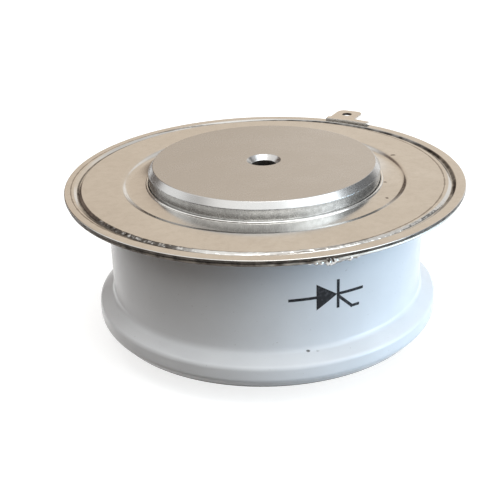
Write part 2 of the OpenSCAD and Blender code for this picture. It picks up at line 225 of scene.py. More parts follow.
def lathe_mesh(outline, turns, wobble=None):
    """Vertices and faces of a closed outline of (radius, height) turned round the Z axis."""
    if area(outline) < 0:
        outline = outline[::-1]
    verts, rings = [], []
    for r, z in outline:
        if r < 1e-6:
            rings.append([len(verts)] * turns)
            verts.append((0, 0, z))
            continue
        rings.append(range(len(verts), len(verts) + turns))
        for k in range(turns):
            a = TURN * k / turns
            rr, zz = wobble(r, z, a) if wobble else (r, z)
            verts.append((rr * math.cos(a), rr * math.sin(a), zz))
    faces = []
    for i, lower in enumerate(rings):
        upper = rings[(i + 1) % len(rings)]
        for k in range(turns):
            n = (k + 1) % turns
            face = list(dict.fromkeys((lower[k], lower[n], upper[n], upper[k])))
            if len(face) > 2:
                faces.append(face)
    return verts, faces


def cut(obj, verts, faces):
    """Takes a closed solid, in millimetres, away from a piece."""
    mesh = mesh_of("cutter", verts, faces)
    cutter = in_scene("cutter", mesh)
    modifier = obj.modifiers.new("cut", "BOOLEAN")
    modifier.object = cutter
    modifier.operation = "DIFFERENCE"
    modifier.solver = "EXACT"
    depsgraph = bpy.context.evaluated_depsgraph_get()
    result = bpy.data.meshes.new_from_object(obj.evaluated_get(depsgraph))
    obj.modifiers.clear()
    old, name = obj.data, obj.data.name
    obj.data = result
    bpy.data.meshes.remove(old)
    result.name = name
    smooth(result)
    bpy.data.objects.remove(cutter)
    bpy.data.meshes.remove(mesh)


def prism(section, y0, y1):
    """Vertices and faces of a bar along +Y, with a section of (x, z) points round the lead's axis."""
    n = len(section)
    verts = [(x, y, LEAD_Z + z) for y in (y0, y1) for x, z in section]
    faces = [(k, (k + 1) % n, n + (k + 1) % n, n + k) for k in range(n)]
    return verts, faces + [tuple(range(n))[::-1], tuple(range(n, 2 * n))]


def loft_mesh(stations):
    """Vertices and faces of a closed run of rings along +Y. A ring is (y, half width, half height, squareness)."""
    sides = 64
    verts, rings = [], []
    for y, half_w, half_h, power in stations:
        ring = range(len(verts), len(verts) + sides)
        rings.append(ring)
        for k in range(sides):
            a = TURN * k / sides
            c, s = math.cos(a), math.sin(a)
            x = math.copysign(abs(c) ** (2 / power), c) * half_w
            z = math.copysign(abs(s) ** (2 / power), s) * half_h
            verts.append((x, y, LEAD_Z + z))
    faces = []
    for near, far in zip(rings, rings[1:]):
        for k in range(sides):
            n = (k + 1) % sides
            faces.append((near[k], far[k], far[n], near[n]))
    for ring, y in ((rings[0], stations[0][0]), (rings[-1], stations[-1][0])):
        middle = len(verts)
        verts.append((0, y, LEAD_Z))
        for k in range(sides):
            n = (k + 1) % sides
            faces.append((ring[k], ring[n], middle) if ring is rings[0] else (ring[n], ring[k], middle))
    return verts, faces


def plate(name, outlines, thickness, edge_r, place, materials, replaced):
    """Flat sheet with rounded edges from closed outlines, the first outside and the others holes."""
    curve = bpy.data.curves.new(name, "CURVE")
    curve.dimensions = "2D"
    curve.fill_mode = "BOTH"
    curve.extrude = (thickness / 2 - edge_r) * MM
    curve.bevel_depth = edge_r * MM
    curve.bevel_resolution = 3
    curve.offset = -edge_r * MM
    for outline in outlines:
        spline = curve.splines.new("POLY")
        spline.points.add(len(outline) - 1)
        for point, (x, y) in zip(spline.points, outline):
            point.co = (x * MM, y * MM, 0, 1)
        spline.use_cyclic_u = True
    source = in_scene(name + "_outline", curve)
    depsgraph = bpy.context.evaluated_depsgraph_get()
    mesh = bpy.data.meshes.new_from_object(source.evaluated_get(depsgraph))
    bpy.data.objects.remove(source)
    bpy.data.curves.remove(curve)
    mesh.name = name
    mesh.transform(place)
    return piece_of(name, mesh, materials, replaced)


# Materials

def add(tree, kind, inputs=None, **settings):
    """New node with its settings, and its inputs set to values or linked to outputs."""
    node = tree.nodes.new(kind)
    for key, value in settings.items():
        setattr(node, key, value)
    for key, value in (inputs or {}).items():
        if isinstance(value, bpy.types.NodeSocket):
            tree.links.new(value, node.inputs[key])
        else:
            node.inputs[key].default_value = value
    return node


def calc(tree, operation, a, b=0.0):
    """Result of a sum or another operation on one or two values."""
    return add(tree, "ShaderNodeMath", {0: a, 1: b}, operation=operation).outputs[0]


def product(tree, value, *factors):
    """Product of several values."""
    for factor in factors:
        value = calc(tree, "MULTIPLY", value, factor)
    return value


def band(tree, value, middle, half_w):
    """1 in the middle of a band, 0 at its edges and less outside."""
    off = calc(tree, "ABSOLUTE", calc(tree, "SUBTRACT", value, middle))
    return calc(tree, "SUBTRACT", 1.0, calc(tree, "DIVIDE", off, half_w))


def ramp(tree, value, from_low, from_high, to_low=0.0, to_high=1.0):
    """Value mapped smoothly from one range to another."""
    inputs = {"Value": value, "From Min": from_low, "From Max": from_high, "To Min": to_low, "To Max": to_high}
    return add(tree, "ShaderNodeMapRange", inputs, interpolation_type="SMOOTHSTEP").outputs["Result"]


def mix(tree, factor, a, b):
    """Mix of two colours."""
    node = add(tree, "ShaderNodeMix", {0: factor}, data_type="RGBA")
    for index, value in ((6, a), (7, b)):
        if isinstance(value, bpy.types.NodeSocket):
            tree.links.new(value, node.inputs[index])
        else:
            node.inputs[index].default_value = (*value, 1)
    return node.outputs[2]


def grain(tree, vector, scale, detail=3.0, roughness=0.55):
    """Noise value at a number of grains per metre."""
    inputs = {"Vector": vector, "Scale": scale, "Detail": detail, "Roughness": roughness}
    return add(tree, "ShaderNodeTexNoise", inputs).outputs[0]


def new_material(name):
    """Material with an empty principled shader; returns it with its tree, shader and object coordinates."""
    material = bpy.data.materials.new(name)
    material.use_nodes = True
    tree = material.node_tree
    shader = tree.nodes["Principled BSDF"]
    place = add(tree, "ShaderNodeTexCoord").outputs["Object"]
    return material, tree, shader, place


def bump(tree, shader, height, depth_mm, strength=1.0, normal=None):
    """Bump from a height of 0 to 1 that stands for a depth in millimetres."""
    inputs = {"Height": height, "Distance": depth_mm * MM, "Strength": strength}
    if normal is not None:
        inputs["Normal"] = normal
    node = add(tree, "ShaderNodeBump", inputs)
    tree.links.new(node.outputs[0], shader.inputs["Normal"])
    return node.outputs[0]


def dress(tree, shader, colour, roughness, metallic=0.0):
    """Links a colour and a roughness to a shader."""
    tree.links.new(colour, shader.inputs["Base Color"])
    tree.links.new(roughness, shader.inputs["Roughness"])
    shader.inputs["Metallic"].default_value = metallic


def radius_of(tree, place):
    """Distance from the capsule's axis."""
    flat = add(tree, "ShaderNodeVectorMath", {0: place, 1: (1, 1, 0)}, operation="MULTIPLY").outputs[0]
    return add(tree, "ShaderNodeVectorMath", {0: flat}, operation="LENGTH").outputs["Value"]


def spots(tree, place, colour, marks, dark):
    """Small marks over a colour. A mark is (x, y, z, size, stretch along x) in millimetres."""
    ragged = calc(tree, "MULTIPLY", grain(tree, place, 5000, 2.0), 0.5)
    for x, y, z, size, stretch in marks:
        offset = add(tree, "ShaderNodeVectorMath", {0: place, 1: (x * MM, y * MM, z * MM)}, operation="SUBTRACT")
        shape = add(tree, "ShaderNodeVectorMath", {0: offset.outputs[0], 1: (1 / stretch, 1, 1)}, operation="MULTIPLY")
        far = add(tree, "ShaderNodeVectorMath", {0: shape.outputs[0]}, operation="LENGTH").outputs["Value"]
        far = calc(tree, "ADD", calc(tree, "DIVIDE", far, size * MM), ragged)
        colour = mix(tree, ramp(tree, far, 0.8, 1.3, 0.9, 0.0), colour, dark)
    return colour


def turned_nickel():
    """Nickel plate on a turned copper pole: fine rings, faint clouds and small scratches."""
    material, tree, shader, place = new_material("turned_nickel")
    radius = radius_of(tree, place)
    clouds = grain(tree, place, 180, 4.0)
    fine = grain(tree, place, 9000, 2.0)
    colour = mix(tree, ramp(tree, clouds, 0.35, 0.7), (0.545, 0.54, 0.535), (0.575, 0.57, 0.565))
    # The plate on the pole's wall is painted darker than on the contact face and its chamfer: painted shade that
    # darkens its reflections, with a tarnish mottle
    wall = calc(tree, "GREATER_THAN", radius, (POLE_R - 0.06) * MM)
    tarnish = ramp(tree, grain(tree, place, 1500, 3.0), 0.3, 0.7)
    tarnish_and_shade = mix(tree, tarnish, (0.44, 0.44, 0.435), (0.54, 0.54, 0.535))
    rough = calc(tree, "ADD", ramp(tree, clouds, 0.3, 0.75, 0.24, 0.28), ramp(tree, fine, 0.3, 0.7, -0.03, 0.03))
    dress(tree, shader, mix(tree, wall, colour, tarnish_and_shade), rough, 1.0)
    inputs = {"W": calc(tree, "MULTIPLY", radius, 1 / MM), "Scale": 9.0, "Detail": 2.0}
    rings = add(tree, "ShaderNodeTexNoise", inputs, noise_dimensions="1D").outputs[0]
    first = bump(tree, shader, rings, 0.002, 0.5)
    bump(tree, shader, fine, 0.002, 0.35, first)
    return material


def groove_marks_and_shade(tree, place, colour):
    """A dark band in the weld groove, ragged stains, and the mark of the welding die painted dark as the shade of its
    crease, over a colour.
    """
    x, y, _ = add(tree, "ShaderNodeSeparateXYZ", {0: place}).outputs
    radius = radius_of(tree, place)
    # The dark band is wider and further out on the right, and fades out at the front right
    middle = ramp(tree, x, -12 * MM, 12 * MM, (GROOVE_R - 0.04) * MM, (GROOVE_R + 0.2) * MM)
    half_w = ramp(tree, x, -12 * MM, 12 * MM, 0.2 * MM, 0.38 * MM)
    groove_band = ramp(tree, band(tree, radius, middle, half_w), 0.0, 0.6, 0.0, 0.97)
    right = ramp(tree, x, -15 * MM, -6 * MM, 0.0, 0.92)
    front = ramp(tree, y, -18 * MM, -12 * MM, 1.0, 0.0)
    left_over = calc(tree, "SUBTRACT", 1.0, calc(tree, "MULTIPLY", right, front))
    patchy = ramp(tree, grain(tree, place, 700, 2.0), 0.25, 0.65, 0.6, 1.0)
    colour = mix(tree, product(tree, groove_band, patchy, left_over), colour, (0.025, 0.02, 0.017))
    # Ragged stains on the inner wall of the groove at the front left
    wall = ramp(tree, band(tree, radius, (GROOVE_R - 0.3) * MM, 0.36 * MM), 0.0, 0.3)
    ragged = ramp(tree, grain(tree, place, 1900, 3.0), 0.46, 0.66, 0.95, 0.2)
    left = ramp(tree, x, -13 * MM, -7 * MM, 1.0, 0.0)
    front = ramp(tree, y, -18 * MM, -6 * MM, 1.0, 0.0)
    colour = mix(tree, product(tree, wall, ragged, left, front), colour, (0.06, 0.05, 0.042))
    # Ring that the welding die has left a little off the middle, painted dark as painted shade of its crease
    aside = add(tree, "ShaderNodeVectorMath", {0: place, 1: (DIE_SHIFT * MM, 0, 0)}, operation="ADD").outputs[0]
    line_w = ramp(tree, grain(tree, place, 900, 2.0), 0.3, 0.7, 0.10 * MM, 0.22 * MM)
    faint = band(tree, radius_of(tree, aside), DIE_R * MM, line_w)
    return mix(tree, ramp(tree, faint, 0.0, 0.8, 0.0, 0.75), colour, (0.17, 0.145, 0.12))


def torn_edge(tree, place):
    """Height of the torn, glittering inner edge of the weld groove at the front."""
    y = add(tree, "ShaderNodeSeparateXYZ", {0: place}).outputs[1]
    edge = ramp(tree, band(tree, radius_of(tree, place), (GROOVE_R - 0.33) * MM, 0.3 * MM), 0.0, 0.6)
    front = ramp(tree, y, -16 * MM, -10 * MM, 1.0, 0.0)
    return product(tree, edge, front, grain(tree, place, 1500, 1.0))


def sheet_nickel(name, marks=(), tint=0.0, rim=False):
    """Satin nickel sheet of the flanges and tabs: soft waves, fine grain, a faint mottle and a few marks."""
    material, tree, shader, place = new_material(name)
    clouds = grain(tree, place, 120, 4.0)
    fine = grain(tree, place, 7000, 2.0)
    dark, light = (0.65 + tint, 0.637, 0.613 - tint), (0.69 + tint, 0.68, 0.657 - tint)
    colour = mix(tree, ramp(tree, clouds, 0.3, 0.7), dark, light)
    # Faint mottle of handling and tarnish
    mottle = ramp(tree, grain(tree, place, 900, 4.0, 0.65), 0.35, 0.72, 0.0, 0.2)
    colour = mix(tree, mottle, colour, (0.46, 0.435, 0.40))
    colour = spots(tree, place, colour, marks, (0.10, 0.08, 0.065))
    if rim:
        colour = groove_marks_and_shade(tree, place, colour)
    rough = calc(tree, "ADD", ramp(tree, clouds, 0.3, 0.75, 0.12, 0.17), ramp(tree, fine, 0.3, 0.7, -0.02, 0.03))
    dress(tree, shader, colour, rough, 1.0)
    first = bump(tree, shader, grain(tree, place, 160, 2.0), 0.02, 0.5)
    if rim:
        first = bump(tree, shader, torn_edge(tree, place), 0.12, 0.8, first)
    bump(tree, shader, fine, 0.0015, 0.4, first)
    return material


def shaded_cut_edge(name, dark, light, lit_colour=None):
    """Sheared edge of a sheet, painted dark as painted shade of its dark reflections and streaked across the sheet;
    given a lit colour, painted lighter towards the +X side as painted light.
    """
    material, tree, shader, place = new_material(name)
    stretched = add(tree, "ShaderNodeVectorMath", {0: place, 1: (1, 1, 0.15)}, operation="MULTIPLY").outputs[0]
    streaks = grain(tree, stretched, 900, 2.0)
    colour = mix(tree, ramp(tree, streaks, 0.3, 0.72), dark, light)
    if lit_colour:
        x = add(tree, "ShaderNodeSeparateXYZ", {0: place}).outputs[0]
        patchy = calc(tree, "ADD", x, ramp(tree, grain(tree, place, 350, 2.0), 0.3, 0.7, -5 * MM, 5 * MM))
        colour = mix(tree, ramp(tree, patchy, 0, 10 * MM), colour, lit_colour)
    dress(tree, shader, colour, ramp(tree, streaks, 0.3, 0.7, 0.55, 0.35), 0.85)
    bump(tree, shader, streaks, 0.01, 0.3)
    return material


def glazed_alumina(marks=()):
    """White glaze over alumina: faint clouds, tiny pits and a slow wave in the gloss."""
    material, tree, shader, place = new_material("glazed_alumina")
    clouds = grain(tree, place, 140, 3.0)
    pits = grain(tree, place, 2600, 2.0)
    colour = mix(tree, ramp(tree, clouds, 0.3, 0.7), (0.705, 0.715, 0.73), (0.745, 0.755, 0.77))
    colour = mix(tree, ramp(tree, pits, 0.70, 0.78, 0.0, 0.5), colour, (0.42, 0.40, 0.38))
    colour = spots(tree, place, colour, marks, (0.06, 0.055, 0.05))
    # Thin dark line painted along the lower edge of the shed, as painted shadow
    z = add(tree, "ShaderNodeSeparateXYZ", {0: place}).outputs[2]
    shadow_line = ramp(tree, z, (CERAMIC_BOTTOM + 0.15) * MM, (CERAMIC_BOTTOM + 0.4) * MM, 0.8, 0.0)
    colour = mix(tree, shadow_line, colour, (0.12, 0.105, 0.09))
    dress(tree, shader, colour, ramp(tree, clouds, 0.3, 0.7, 0.16, 0.26))
    shader.inputs["Specular IOR Level"].default_value = 0.3
    shader.inputs["Coat Weight"].default_value = 0.1
    shader.inputs["Coat Roughness"].default_value = 0.06
    waves = grain(tree, place, 220, 2.0)
    first = bump(tree, shader, waves, 0.03, 0.4)
    bump(tree, shader, pits, 0.004, 0.3, first)
    return material


def braze(name, dark, light, depth_mm):
    """Bright braze or weld metal with an uneven skin."""
    material, tree, shader, place = new_material(name)
    skin = grain(tree, place, 1500, 3.0)
    colour = mix(tree, ramp(tree, skin, 0.35, 0.7), dark, light)
    dress(tree, shader, colour, ramp(tree, skin, 0.3, 0.7, 0.12, 0.25), 1.0)
    bump(tree, shader, skin, depth_mm, 0.5)
    return material


def ink():
    """Black stamped ink, a little uneven where the stamp was dry."""
    material, tree, shader, place = new_material("ink")
    dry = grain(tree, place, 1800, 3.0)
    colour = mix(tree, ramp(tree, dry, 0.45, 0.75), (0.012, 0.012, 0.014), (0.06, 0.06, 0.065))
    dress(tree, shader, colour, ramp(tree, dry, 0.3, 0.7, 0.5, 0.65))
    shader.inputs["Specular IOR Level"].default_value = 0.2
    bump(tree, shader, dry, 0.01, 0.3)
    return material


def plain(name, dark, light, metallic, rough, scale):
    """Plain material: two shades, a grain and a roughness that follows it."""
    material, tree, shader, place = new_material(name)
    value = grain(tree, place, scale, 3.0)
    colour = mix(tree, ramp(tree, value, 0.3, 0.7), dark, light)
    dress(tree, shader, colour, ramp(tree, value, 0.3, 0.7, rough - 0.06, rough + 0.06), metallic)
    bump(tree, shader, value, 0.004, 0.4)
    return material


# Crease of the welding die, painted as a dark line of shade: how far it lies off the middle, towards -X, and its radius
DIE_SHIFT, DIE_R = 1.05, 27.22

POLE_NICKEL = turned_nickel()
FLANGE_NICKEL = sheet_nickel("flange_nickel", [
    (20.07, 7.23, RIM_TOP, 0.34, 1.4), (16.87, -9.34, RIM_TOP - TROUGH_DEPTH, 0.3, 1.0),
    (17.38, -3.54, RIM_TOP - TROUGH_DEPTH, 0.34, 1.2),
], rim=True)
TAB_NICKEL = sheet_nickel("tab_nickel", tint=0.012)
# Dark cut edges of the sheets and of the tab's hole: painted shade standing in for dark reflections
SHADED_CUT_EDGE = shaded_cut_edge("shaded_cut_edge", (0.03, 0.025, 0.021), (0.09, 0.076, 0.065))
# Edge of the lower sheet: painted shade, with painted light on its +X side
SHADED_EDGE_LIT_RIGHT = shaded_cut_edge("shaded_edge_lit_right", (0.05, 0.042, 0.036), (0.14, 0.12, 0.10), (0.55, 0.52, 0.47))
# Very dark nickel: painted shade for the underside of the rim and the braze fillet under it
SHADED_NICKEL = plain("shaded_nickel", (0.075, 0.06, 0.05), (0.12, 0.098, 0.082), 0.9, 0.5, 500)
SHADED_BORE = plain("shaded_bore", (0.012, 0.011, 0.010), (0.045, 0.038, 0.032), 0.3, 0.6, 1500)
CERAMIC = glazed_alumina([(4.87, -23.04, 7.5, 0.22, 1.6), (6.09, -22.75, 7.13, 0.4, 1.3)])
BRAZE = braze("braze", (0.74, 0.73, 0.71), (0.88, 0.88, 0.86), 0.01)
WELD_METAL = braze("weld_metal", (0.22, 0.21, 0.20), (0.70, 0.69, 0.67), 0.06)
INK = ink()
INNER = {
    "molybdenum": plain("molybdenum", (0.30, 0.30, 0.31), (0.40, 0.40, 0.41), 1.0, 0.42, 1500),
    "silicon": plain("silicon", (0.09, 0.09, 0.105), (0.13, 0.13, 0.15), 0.6, 0.2, 400),
    "silicone_rubber": plain("silicone_rubber", (0.72, 0.70, 0.64), (0.80, 0.78, 0.72), 0.0, 0.6, 900),
    "white_plastic": plain("white_plastic", (0.78, 0.78, 0.76), (0.84, 0.84, 0.82), 0.0, 0.5, 1200),
    "gold_plate": plain("gold_plate", (0.72, 0.50, 0.18), (0.80, 0.60, 0.28), 1.0, 0.25, 1800),
    "spring_steel": plain("spring_steel", (0.40, 0.40, 0.41), (0.50, 0.50, 0.51), 1.0, 0.32, 2500),
    "silver_wire": plain("silver_wire", (0.70, 0.69, 0.67), (0.80, 0.79, 0.77), 1.0, 0.25, 2500),
}


# Contact poles

POLE_TURNS = 256
# Depth at which the painted shade in a locating hole begins, and how far a face may lie off the hole's wall
SHADE_START, OFF_WALL = 0.9, 0.05

hole_tip = HOLE_DEPTH + HOLE_R / math.tan(DRILL_HALF_ANGLE)
shoulder_z = POLE_STAND + COLLAR_DROP + SHEET_T


def pole_outline(h, bore=()):
    """Outline of half a pole with its contact face at zero and its inner face at height h."""
    return rounded([
        (0, hole_tip), (HOLE_R, HOLE_DEPTH), (HOLE_R, COUNTERSINK_W, 0.1), (HOLE_R + COUNTERSINK_W, 0, 0.12),
        (POLE_R - CHAMFER_W, 0, 0.16), (POLE_R, CHAMFER_H, 0.2), (POLE_R, shoulder_z, 0.1),
        (SHOULDER_R, shoulder_z, 0.1), (SHOULDER_R, shoulder_z + SHOULDER_H, 0.1),
        (POLE_R, shoulder_z + SHOULDER_H, 0.1), (POLE_R, h, 0.1), *bore,
    ])


def darken_hole(piece, mouth_z, inwards):
    """The locating hole below its countersink is painted dark, as painted shade."""
    piece.data.materials.append(SHADED_BORE)
    for face in piece.data.polygons:
        depth = (face.center.z / MM - mouth_z) * inwards
        if face.center.xy.length < (HOLE_R + OFF_WALL) * MM and SHADE_START < depth < hole_tip + 2 * OFF_WALL:
            face.material_index = 1


anode_outline = pole_outline(ANODE_POLE_H, [(0, ANODE_POLE_H)])
anode_pole = new_piece("anode_pole_turned", *lathe_mesh(anode_outline, POLE_TURNS), "pole_nickel", [POLE_NICKEL],
                       ["anode_pole"])

cathode_h = CAPSULE_H - CATHODE_INNER_Z
cathode_outline = pole_outline(cathode_h, [
    (GATE_BORE_R, cathode_h), (GATE_BORE_R, cathode_h - GATE_BORE_DEPTH), (0, cathode_h - GATE_BORE_DEPTH)])
cathode_outline = [(r, CAPSULE_H - z) for r, z in cathode_outline]
cathode_pole = new_piece("cathode_pole_turned", *lathe_mesh(cathode_outline, POLE_TURNS), "pole_nickel",
                         [POLE_NICKEL], ["cathode_pole"])

# Channel for the gate lead: a round top at the lead's axis, and straight sides down through the inner face
channel_drop = LEAD_H + 0.5
channel = arc(0, 0, CHANNEL_R, 0, 180, 12) + [(-CHANNEL_R, -channel_drop), (CHANNEL_R, -channel_drop)]
cut(cathode_pole, *prism(channel, 1.0, POLE_R + 0.5))
darken_hole(cathode_pole, CAPSULE_H, -1)
darken_hole(anode_pole, 0, 1)


# Flanges

RIM_TURNS, WELD_TURNS, RING_TURNS = 820, 480, 360
# Flat seat beside the collar, the slope's last point before the bend, and where the flat ring begins
SEAT_RUN, SLOPE_SHORT, SLOPE_UP = 0.06, 0.15, 0.012
FLAT_R = BEND_R + 0.3
# Reach of the uneven weld to each side of its groove, and the waves of the sheet
WELD_REACH, SHEET_WAVE = 1.2, 0.012


def s_bend(r0, z0, r1, z1, shift=0.0, step=4.0):
    """Smooth step from (r0, z0) out to (r1, z1): two arcs of one radius, or their parallel at a shift upwards."""
    width, rise = r1 - r0, z1 - z0
    radius = (width ** 2 + rise ** 2) / (4 * abs(rise))
    turn = 2 * math.degrees(math.atan(abs(rise) / width))
    if rise > 0:
        return (arc(r0, z0 + radius, radius - shift, 270, 270 + turn, step)
                + arc(r1, z1 - radius, radius + shift, 90 + turn, 90, step)[1:])
    return (arc(r0, z0 - radius, radius + shift, 90, 90 - turn, step)
            + arc(r1, z1 + radius, radius - shift, 270 - turn, 270, step)[1:])


def trough_line(z, shift):
    """Line of a trough from its seat on the pole over its dip to the flat ring."""
    low_z = z - TROUGH_DEPTH
    slope = [(COLLAR_R + COLLAR_T + SEAT_RUN, z - COLLAR_DROP + shift),
             (FLOOR_R - SLOPE_SHORT, low_z + SLOPE_UP + shift)]
    return slope + s_bend(FLOOR_R, low_z, BEND_R, z, shift) + [(BEND_R + 0.04, z + shift)]


def trough_top(z):
    """Upper face of a flange: rounded collar, seat, then the trough."""
    seat_z = z - COLLAR_DROP
    collar = arc(COLLAR_R + COLLAR_T / 2, seat_z + COLLAR_H - COLLAR_T / 2, COLLAR_T / 2, 180, 0, 12)
    return collar + [(COLLAR_R + COLLAR_T + SEAT_RUN / 2, seat_z + 0.01)] + trough_line(z, 0)


def trough_bottom(z):
    """Lower face of a flange, back from its bend to its collar."""
    line = trough_line(z, -SHEET_T)[::-1]
    return line + [(COLLAR_R, line[-1][1])]


def ripple(r, z, a):
    """Uneven weld groove and slightly wavy sheet of the rim."""
    c, s = math.cos(a), math.sin(a)
    near = max(0.0, 1 - abs(r - GROOVE_R) / WELD_REACH)
    wall = max(0.0, 1 - abs(r - GROOVE_R + 0.35) / 0.5)
    slow = noise.noise(Vector((c * 5, s * 5, 3.1)))
    quick = noise.noise(Vector((c * 42, s * 42, r * 1.3)))
    flat = max(0.0, min(1.0, (r - BEND_R) / 1.5))
    z += flat * SHEET_WAVE * noise.noise(Vector((c * 2.5, s * 2.5, 7.7)))
    front = max(0.0, min(1.0, (-0.45 - s) / 0.3))
    z += near * (0.003 * quick + 0.015 * slow) + wall * front * (0.6 + slow) * 0.09 * quick
    r += near * (0.04 * slow + front * 0.05 * noise.noise(Vector((c * 30, s * 30, 9.0))))
    return r, z


# Two rings of points inside the groove keep the waves of its edge off the flat ring
flange_outline = trough_top(RIM_TOP) + rounded([
    (FLAT_R, RIM_TOP), (GROOVE_R - 1.25, RIM_TOP), (GROOVE_R - 0.88, RIM_TOP),
    (GROOVE_R - GROOVE_HALF_W, RIM_TOP, 0.12),
    (GROOVE_R - GROOVE_FLOOR_HALF_W, RIM_TOP - GROOVE_DEPTH, 0.15),
    (GROOVE_R + GROOVE_FLOOR_HALF_W, RIM_TOP - GROOVE_DEPTH, 0.15),
    (GROOVE_R + GROOVE_HALF_W, RIM_TOP, 0.12), (RIM_R, RIM_TOP, 0.15), (RIM_R, WELD_Z, 0.06), (FLAT_R, WELD_Z),
]) + trough_bottom(RIM_TOP)
cathode_flange = new_piece("cathode_flange_formed", *lathe_mesh(flange_outline, RIM_TURNS, ripple), "flange_nickel",
                           [FLANGE_NICKEL, SHADED_CUT_EDGE, BRAZE], ["cathode_flange"])

turn_r = GROOVE_R + GROOVE_HALF_W
weld_outline = rounded([
    (LAND_R, WELD_Z), (turn_r, WELD_Z, 0.5), (LOWER_RIM_R, WELD_Z - RIM_GAP, 0.12),
    (LOWER_RIM_R, CERAMIC_TOP - RIM_GAP, 0.14), (turn_r, CERAMIC_TOP, 0.15),
    (GROOVE_R + GROOVE_FLOOR_HALF_W, CERAMIC_TOP + GROOVE_DEPTH, 0.15),
    (GROOVE_R - GROOVE_FLOOR_HALF_W, CERAMIC_TOP + GROOVE_DEPTH, 0.15),
    (GROOVE_R - GROOVE_HALF_W, CERAMIC_TOP, 0.15), (LAND_R, CERAMIC_TOP),
])
weld_flange = new_piece("weld_flange_formed", *lathe_mesh(weld_outline, WELD_TURNS), "flange_nickel",
                        [FLANGE_NICKEL, SHADED_EDGE_LIT_RIGHT, SHADED_NICKEL], ["weld_flange"])

anode_flange_outline = trough_top(0) + rounded([
    (FLAT_R, 0), (ANODE_RIM_R, 0, 0.12), (ANODE_RIM_R, -SHEET_T, 0.06), (FLAT_R, -SHEET_T),
]) + trough_bottom(0)
anode_flange_outline = [(r, POLE_STAND - z) for r, z in anode_flange_outline]
anode_flange = new_piece("anode_flange_formed", *lathe_mesh(anode_flange_outline, RING_TURNS), "flange_nickel",
                         [FLANGE_NICKEL, SHADED_CUT_EDGE, BRAZE], ["anode_flange"])

# The collars are brazed to the poles; the cut edges are painted dark as painted shade, and the underside of the rim is
# painted dark as painted shade under it
EDGE_SLOPE = 0.35
collar_end = COLLAR_R + COLLAR_T + 0.02
for piece, edge_r in ((cathode_flange, RIM_R - 0.1), (anode_flange, ANODE_RIM_R - 0.1)):
    paint(piece, 2, lambda r, slope: r < collar_end and abs(slope) > 0.05)
    paint(piece, 1, lambda r, slope: r > edge_r and slope < EDGE_SLOPE)
paint(weld_flange, 2, lambda r, slope: slope < -EDGE_SLOPE)
paint(weld_flange, 1, lambda r, slope: r > LOWER_RIM_R - 0.5 and slope > -EDGE_SLOPE)


# Ceramic ring

TOP_ROUND_R = 0.12

shed_c = Vector((SHED_R - SHED_ROUND_R, CERAMIC_BOTTOM + SHED_MID_H))
top_c = Vector((SHED_R - SHED_TOP_R, CERAMIC_BOTTOM + SHED_MID_H + SHED_FACE_H))
shed_low = Vector((SHED_R - SHED_UNDERCUT, CERAMIC_BOTTOM + SHED_BEVEL))
low_ray = shed_c - shed_low
wall_angle = math.degrees(math.atan2(low_ray.y, low_ray.x) - math.asin(SHED_ROUND_R / low_ray.length))
slope = math.radians(SHED_SLOPE)
slope_out = Vector((math.sin(slope), math.cos(slope)))
slope_in = Vector((-math.cos(slope), math.sin(slope)))
shed_top = top_c + SHED_TOP_R * slope_out
top_len = (shed_top.x + SHED_HOLLOW_R * slope_out.x - (CERAMIC_R + SHED_HOLLOW_R)) / math.cos(slope)
hollow_c = shed_top + top_len * slope_in + SHED_HOLLOW_R * slope_out
step_depth = TROUGH_DEPTH + TROUGH_ROOM

ceramic_outline = (
    [(LAND_R, CERAMIC_BOTTOM)]
    + arc(shed_low.x - SHED_BEVEL, shed_low.y, SHED_BEVEL, 270, 350, 12)
    + arc(*shed_c, SHED_ROUND_R, wall_angle - 90, 0, 5)
    + arc(*top_c, SHED_TOP_R, 0, 90 - SHED_SLOPE, 5)
    + arc(*hollow_c, SHED_HOLLOW_R, 270 - SHED_SLOPE, 180, 4)
    + [(CERAMIC_R, CERAMIC_TOP - TOP_ROUND_R - 0.04)]
    + arc(CERAMIC_R - TOP_ROUND_R, CERAMIC_TOP - TOP_ROUND_R, TOP_ROUND_R, 0, 90, 18)
    + [
        (LAND_R, CERAMIC_TOP), (LAND_R, CERAMIC_TOP - step_depth), (BORE_R, CERAMIC_TOP - step_depth),
        (BORE_R, CERAMIC_BOTTOM + step_depth), (LAND_R, CERAMIC_BOTTOM + step_depth),
    ]
)
ceramic = new_piece("ceramic_ring_glazed", *lathe_mesh(ceramic_outline, RING_TURNS), "glazed_alumina", [CERAMIC],
                    ["ceramic_ring"])
cut(ceramic, *prism(circle(0, 0, TUBE_R + 0.05), BORE_R - 0.5, CERAMIC_R + 0.5))


# Braze between the ring and the rim, painted dark as painted shade under the rim

FILLET_R, FILLET_TURNS = 0.5, 720


def uneven(r, z, a):
    """Braze that is thicker in some places than in others."""
    c, s = math.cos(a), math.sin(a)
    slow, quick = noise.noise(Vector((c * 9, s * 9, 1.0))), noise.noise(Vector((c * 33, s * 33, 2.0)))
    amount = max(0.2, 0.75 + 0.55 * slow + 0.3 * quick)
    return CERAMIC_R + (r - CERAMIC_R) * amount, CERAMIC_TOP + (z - CERAMIC_TOP) * amount


fillet_outline = (
    [(CERAMIC_R - 0.03, CERAMIC_TOP - 0.001)]
    + arc(CERAMIC_R + FILLET_R, CERAMIC_TOP - FILLET_R, FILLET_R, 180, 90, 15)
    + [(CERAMIC_R + FILLET_R, CERAMIC_TOP - 0.001)]
)
# The fillet gets the very dark nickel, as painted shade under the rim
new_piece("braze_fillet", *lathe_mesh(fillet_outline, FILLET_TURNS, uneven), "flange_nickel", [SHADED_NICKEL])


# Lumps of weld metal under the edge of the rim, right of the front

